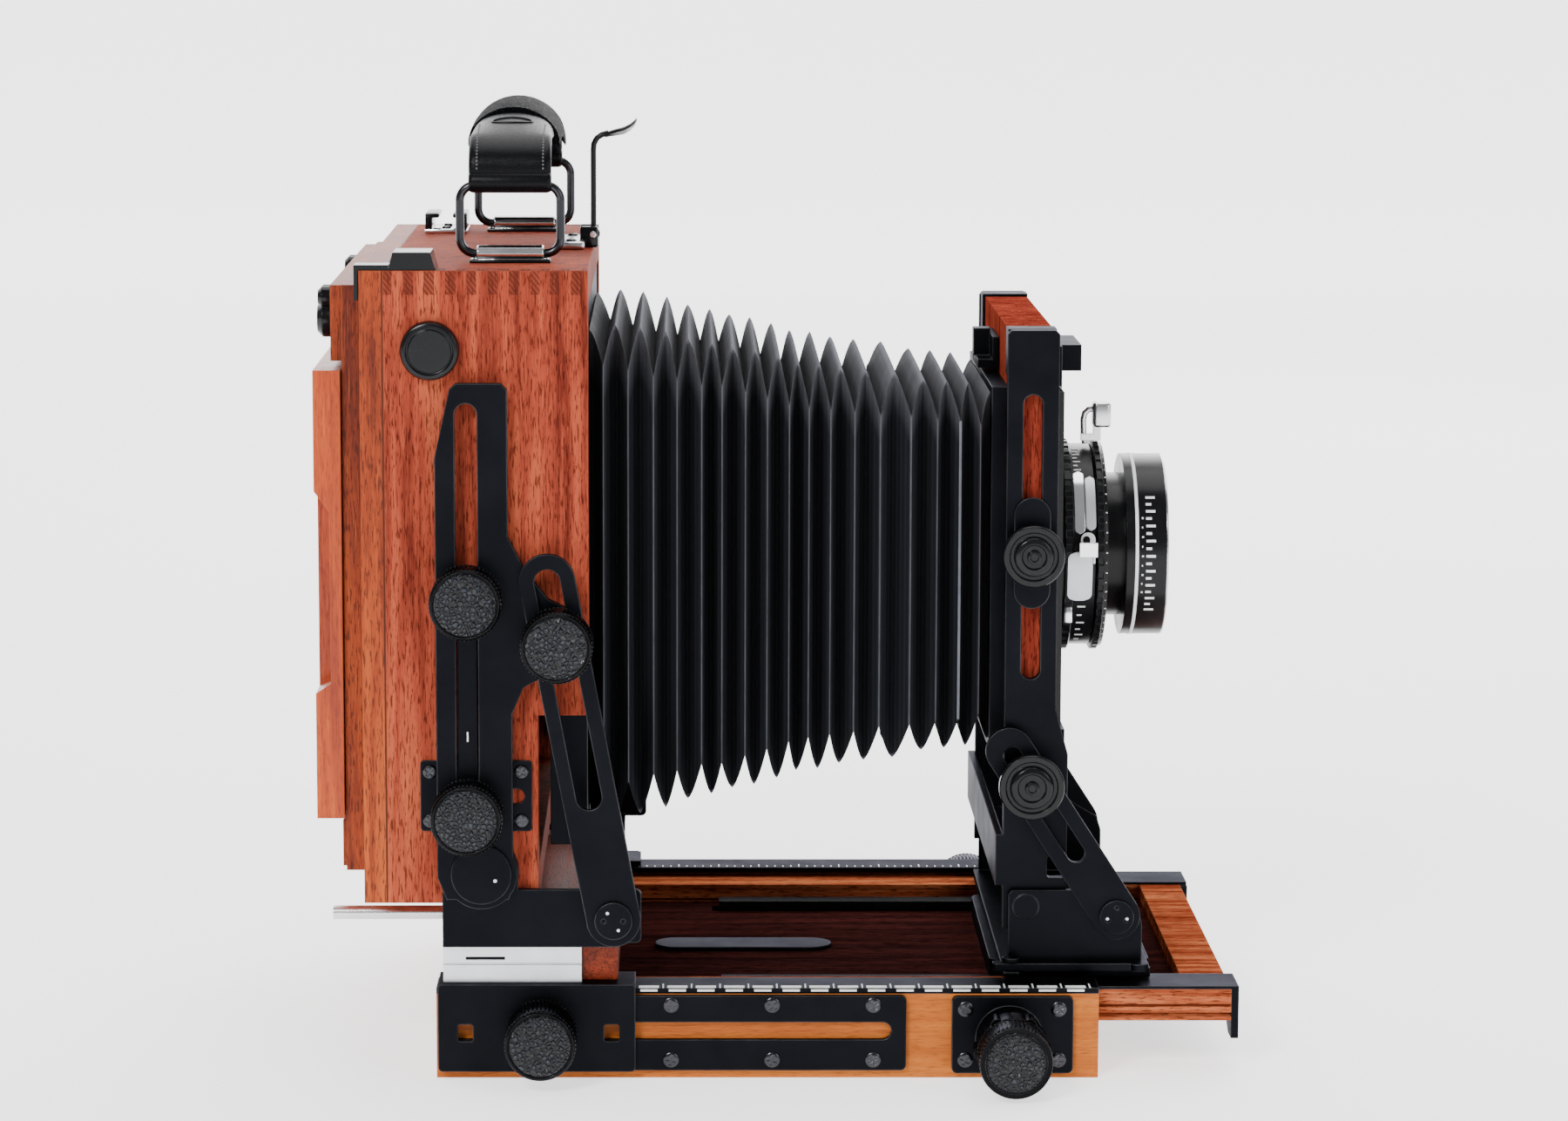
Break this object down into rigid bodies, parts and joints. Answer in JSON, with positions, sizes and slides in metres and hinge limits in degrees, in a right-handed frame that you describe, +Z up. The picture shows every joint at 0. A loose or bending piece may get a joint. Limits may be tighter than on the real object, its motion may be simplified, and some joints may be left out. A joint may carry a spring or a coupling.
{
  "type": "folding field camera",
  "caption": "Wooden folding field camera for sheet film, open on its base, with pleated bellows, a lens in a leaf shutter and black metal tilt and rise hardware.",
  "frame": {"origin": "mouth of the tripod socket, in the middle of the base's underside", "axes": "+X out of the lens, along the lens axis; +Z up; +Y across the camera, so -Y is the camera's right-hand side seen from behind"},
  "size_m": [0.2476, 0.221, 0.2585],
  "materials": {
    "side_wood": "polished red-brown hardwood, satin oil finish",
    "base_wood": "lighter orange-brown hardwood, satin oil finish",
    "bed_wood": "dark red hardwood, satin",
    "back_wood": "orange-brown hardwood, satin",
    "black_plate": "satin black anodised",
    "black_knob": "black, knurled rim with leather-grain face",
    "screws": "bright steel screw heads",
    "steel": "bright steel",
    "chrome": "polished",
    "brass": "brushed",
    "cloth": "black pleated bellows cloth",
    "leather": "black padded leather",
    "lens_black": null,
    "lens_glass": "coated optical glass",
    "screen_glass": "ground glass, matt",
    "block_metal": "bright satin metal clamping blocks",
    "scale_black": "black strip with white scale ticks"
  },
  "bodies": {
    "base": {"base_frame": "base_wood", "tripod_socket": "brass", "scale_strips": "scale_black", "base_side_plates": "black_plate", "base_screws": "screws", "bellows": "cloth"},
    "bed": {"bed_rails": "base_wood", "bed_panel": "bed_wood", "bed_plates": "black_plate", "focus_racks": "brass"},
    "pinion": {"pinion_shaft": "black_knob"},
    "focus_lock": {"focus_lock": "black_knob"},
    "rear_carriage": {"carriage_blocks": "block_metal", "carriage_board": "bed_wood", "rear_brackets": "black_plate"},
    "carriage_knobs": {"carriage_knobs": "black_knob"},
    "rear_lock_lever": {"rear_lock_lever": "steel"},
    "rear_arms": {"rear_arms": "black_plate"},
    "rear_struts": {"rear_struts": "black_plate"},
    "strut_knobs": {"strut_knobs": "black_knob"},
    "rear_body": {"rear_box": "side_wood", "bellows_rear_frame": "black_plate", "back_frame": "back_wood", "guide_plates": "black_plate", "body_screws": "screws", "top_fittings": "black_plate", "reversible_back": "back_wood", "handle_strap": "leather"},
    "rise_knobs": {"rise_knobs": "black_knob"},
    "guide_knobs": {"guide_knobs": "black_knob"},
    "screen": {"screen_frame": "back_wood", "focusing_screen": "screen_glass"},
    "back_latch_right": {"back_latch_right": "black_plate"},
    "back_latch_left": {"back_latch_left": "black_plate"},
    "back_clip": {"back_clip": "black_plate"},
    "bellows_hook": {"bellows_hook": "black_plate"},
    "handle_ring_right": {"handle_ring_right": "chrome"},
    "handle_ring_left": {"handle_ring_left": "chrome"},
    "front_carriage": {"front_carriage": "black_plate"},
    "swing_lock_lever": {"swing_lock_lever": "black_plate"},
    "front_columns": {"front_columns": "black_plate"},
    "front_braces": {"front_braces": "black_plate"},
    "brace_knobs": {"brace_knobs": "black_knob"},
    "rise_sliders": {"rise_sliders": "black_plate"},
    "front_rise_knobs": {"front_rise_knobs": "black_knob"},
    "lens_frame": {"lens_frame": "side_wood", "frame_fittings": "black_plate", "bellows_front_frame": "black_plate", "lens_board": "black_plate", "shutter_body": "lens_black", "leaf_blades": "black_plate", "lens_cells": "lens_black", "lens_glasses": "lens_glass"},
    "bellows_latch": {"bellows_latch": "black_plate"},
    "board_latch": {"board_latch": "black_plate"},
    "aperture_ring": {"aperture_ring": "lens_black"},
    "speed_ring": {"speed_ring": "lens_black"},
    "cocking_lever": {"cocking_lever": "steel"},
    "release_lever": {"release_lever": "chrome"}
  },
  "joints": [
    {"name": "focus_slide", "type": "slide", "parent": "base", "child": "bed", "axis": [1, 0, 0], "range_m": [-0.016, 0.07], "deforming": ["bellows"]},
    {"name": "focus_turn", "type": "hinge", "parent": "base", "child": "pinion", "pos_m": [0.0646, 0, 0.011], "axis": [0, 1, 0], "range_deg": [-180, 775]},
    {"name": "focus_lock_turn", "type": "hinge", "parent": "base", "child": "focus_lock", "pos_m": [0.0646, 0, 0.011], "axis": [0, 1, 0], "range_deg": [0, 60]},
    {"name": "rear_slide", "type": "slide", "parent": "base", "child": "rear_carriage", "axis": [1, 0, 0], "range_m": [0, 0.01]},
    {"name": "carriage_knob_turn", "type": "hinge", "parent": "rear_carriage", "child": "carriage_knobs", "pos_m": [-0.0603, 0, 0.0132], "axis": [0, 1, 0], "range_deg": [0, 270]},
    {"name": "rear_lock_swing", "type": "hinge", "parent": "rear_carriage", "child": "rear_lock_lever", "pos_m": [-0.08, -0.052, 0.0385], "axis": [0, 0, 1], "range_deg": [-15, 20]},
    {"name": "rear_tilt", "type": "hinge", "parent": "rear_carriage", "child": "rear_arms", "pos_m": [-0.076, 0, 0.057], "axis": [0, 1, 0], "range_deg": [-12, 3]},
    {"name": "rear_strut_swing", "type": "hinge", "parent": "rear_carriage", "child": "rear_struts", "pos_m": [-0.041, 0, 0.045], "axis": [0, 1, 0], "range_deg": [-9, 2.4]},
    {"name": "strut_knob_turn", "type": "hinge", "parent": "rear_arms", "child": "strut_knobs", "pos_m": [-0.0556, 0, 0.1195], "axis": [0, 1, 0], "range_deg": [0, 270]},
    {"name": "rear_rise", "type": "slide", "parent": "rear_arms", "child": "rear_body", "axis": [0, 0, 1], "range_m": [0, 0.012]},
    {"name": "rise_knob_turn", "type": "hinge", "parent": "rear_body", "child": "rise_knobs", "pos_m": [-0.0794, 0, 0.1305], "axis": [0, 1, 0], "range_deg": [0, 270]},
    {"name": "guide_knob_turn", "type": "hinge", "parent": "rear_body", "child": "guide_knobs", "pos_m": [-0.0794, 0, 0.0735], "axis": [0, 1, 0], "range_deg": [0, 270]},
    {"name": "screen_pull", "type": "slide", "parent": "rear_body", "child": "screen", "axis": [-1, 0, 0], "range_m": [0, 0.007], "stiffness_N_per_m": 400, "springref_m": -0.004},
    {"name": "right_latch_turn", "type": "hinge", "parent": "rear_body", "child": "back_latch_right", "pos_m": [-0.1174, -0.05, 0.201], "axis": [1, 0, 0], "range_deg": [-90, 90]},
    {"name": "left_latch_turn", "type": "hinge", "parent": "rear_body", "child": "back_latch_left", "pos_m": [-0.1174, 0.05, 0.201], "axis": [1, 0, 0], "range_deg": [-90, 90]},
    {"name": "back_clip_slide", "type": "slide", "parent": "rear_body", "child": "back_clip", "axis": [-1, 0, 0], "range_m": [0, 0.004]},
    {"name": "bellows_hook_fold", "type": "hinge", "parent": "rear_body", "child": "bellows_hook", "pos_m": [-0.0475, 0, 0.2201], "axis": [0, 1, 0], "range_deg": [0, 95]},
    {"name": "right_ring_lean", "type": "hinge", "parent": "rear_body", "child": "handle_ring_right", "pos_m": [-0.0686, -0.056, 0.2189], "axis": [1, 0, 0], "range_deg": [0, 20], "deforming": ["handle_strap"]},
    {"name": "left_ring_lean", "type": "hinge", "parent": "rear_body", "child": "handle_ring_left", "pos_m": [-0.0686, 0.056, 0.2189], "axis": [-1, 0, 0], "range_deg": [0, 20]},
    {"name": "front_swing", "type": "hinge", "parent": "bed", "child": "front_carriage", "pos_m": [0.084, 0, 0.0231], "axis": [0, 0, 1], "range_deg": [-6, 6]},
    {"name": "swing_lock_turn", "type": "hinge", "parent": "front_carriage", "child": "swing_lock_lever", "pos_m": [0.066, -0.0668, 0.027], "axis": [0, 0, 1], "range_deg": [-40, 0]},
    {"name": "front_tilt", "type": "hinge", "parent": "front_carriage", "child": "front_columns", "pos_m": [0.0701, 0, 0.0425], "axis": [0, 1, 0], "range_deg": [-2.5, 10]},
    {"name": "front_brace_swing", "type": "hinge", "parent": "front_carriage", "child": "front_braces", "pos_m": [0.0945, 0, 0.0403], "axis": [0, 1, 0], "range_deg": [-1.8, 6.8]},
    {"name": "brace_knob_turn", "type": "hinge", "parent": "front_columns", "child": "brace_knobs", "pos_m": [0.0708, 0, 0.0769], "axis": [0, 1, 0], "range_deg": [0, 270]},
    {"name": "front_rise", "type": "slide", "parent": "front_columns", "child": "rise_sliders", "axis": [0, 0, 1], "range_m": [-0.012, 0.015]},
    {"name": "front_rise_knob_turn", "type": "hinge", "parent": "rise_sliders", "child": "front_rise_knobs", "pos_m": [0.0709, 0, 0.139], "axis": [0, 1, 0], "range_deg": [0, 270]},
    {"name": "lens_tilt", "type": "hinge", "parent": "rise_sliders", "child": "lens_frame", "pos_m": [0.0709, 0, 0.139], "axis": [0, 1, 0], "range_deg": [-6, 6]},
    {"name": "bellows_latch_lift", "type": "slide", "parent": "lens_frame", "child": "bellows_latch", "axis": [0, 0, 1], "range_m": [0, 0.004]},
    {"name": "board_latch_lift", "type": "slide", "parent": "lens_frame", "child": "board_latch", "axis": [0, 0, 1], "range_m": [0, 0.005]},
    {"name": "aperture_turn", "type": "hinge", "parent": "lens_frame", "child": "aperture_ring", "pos_m": [0.0837, 0, 0.1328], "axis": [1, 0, 0], "range_deg": [-50, 50]},
    {"name": "speed_turn", "type": "hinge", "parent": "lens_frame", "child": "speed_ring", "pos_m": [0.0929, 0, 0.1328], "axis": [1, 0, 0], "range_deg": [-120, 120]},
    {"name": "cocking_turn", "type": "hinge", "parent": "lens_frame", "child": "cocking_lever", "pos_m": [0.0929, 0, 0.1328], "axis": [1, 0, 0], "range_deg": [0, 45]},
    {"name": "release_press", "type": "hinge", "parent": "lens_frame", "child": "release_lever", "pos_m": [0.087, 0, 0.1328], "axis": [1, 0, 0], "range_deg": [0, 4], "stiffness_Nm_per_rad": 0.02, "springref_deg": -2.86}
  ],
  "couplings": [
    {"joint": "focus_turn", "follows": "focus_slide", "rad_per_m": 192.31},
    {"joint": "rear_strut_swing", "follows": "rear_tilt", "ratio": 0.742},
    {"joint": "front_brace_swing", "follows": "front_tilt", "ratio": 0.661},
    {"joint": "left_ring_lean", "follows": "right_ring_lean", "ratio": 1}
  ]
}
